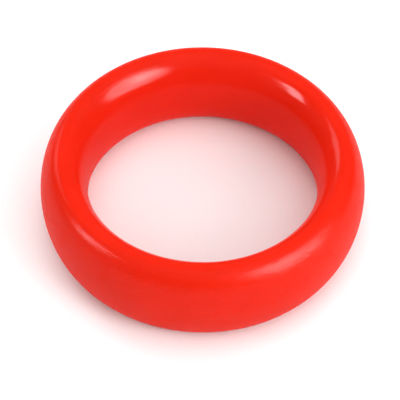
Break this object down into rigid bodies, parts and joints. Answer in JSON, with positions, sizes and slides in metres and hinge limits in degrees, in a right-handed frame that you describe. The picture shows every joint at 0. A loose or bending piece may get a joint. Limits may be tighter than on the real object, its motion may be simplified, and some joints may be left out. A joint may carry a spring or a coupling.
{
  "type": "moulded ring",
  "caption": "Stout soft ring moulded in one piece, with an oval wall, rounded rims and a plain round bore.",
  "frame": {"origin": "centre of the bore, half-way up the ring, which is also the centre of its bounding box", "axes": "+Z along the ring's axis; the ring is the same either way up and all the way round"},
  "size_m": [0.0704, 0.0704, 0.0206],
  "materials": {
    "elastomer": "semi-gloss moulded"
  },
  "bodies": {
    "root": {"ring": "elastomer"}
  },
  "joints": []
}
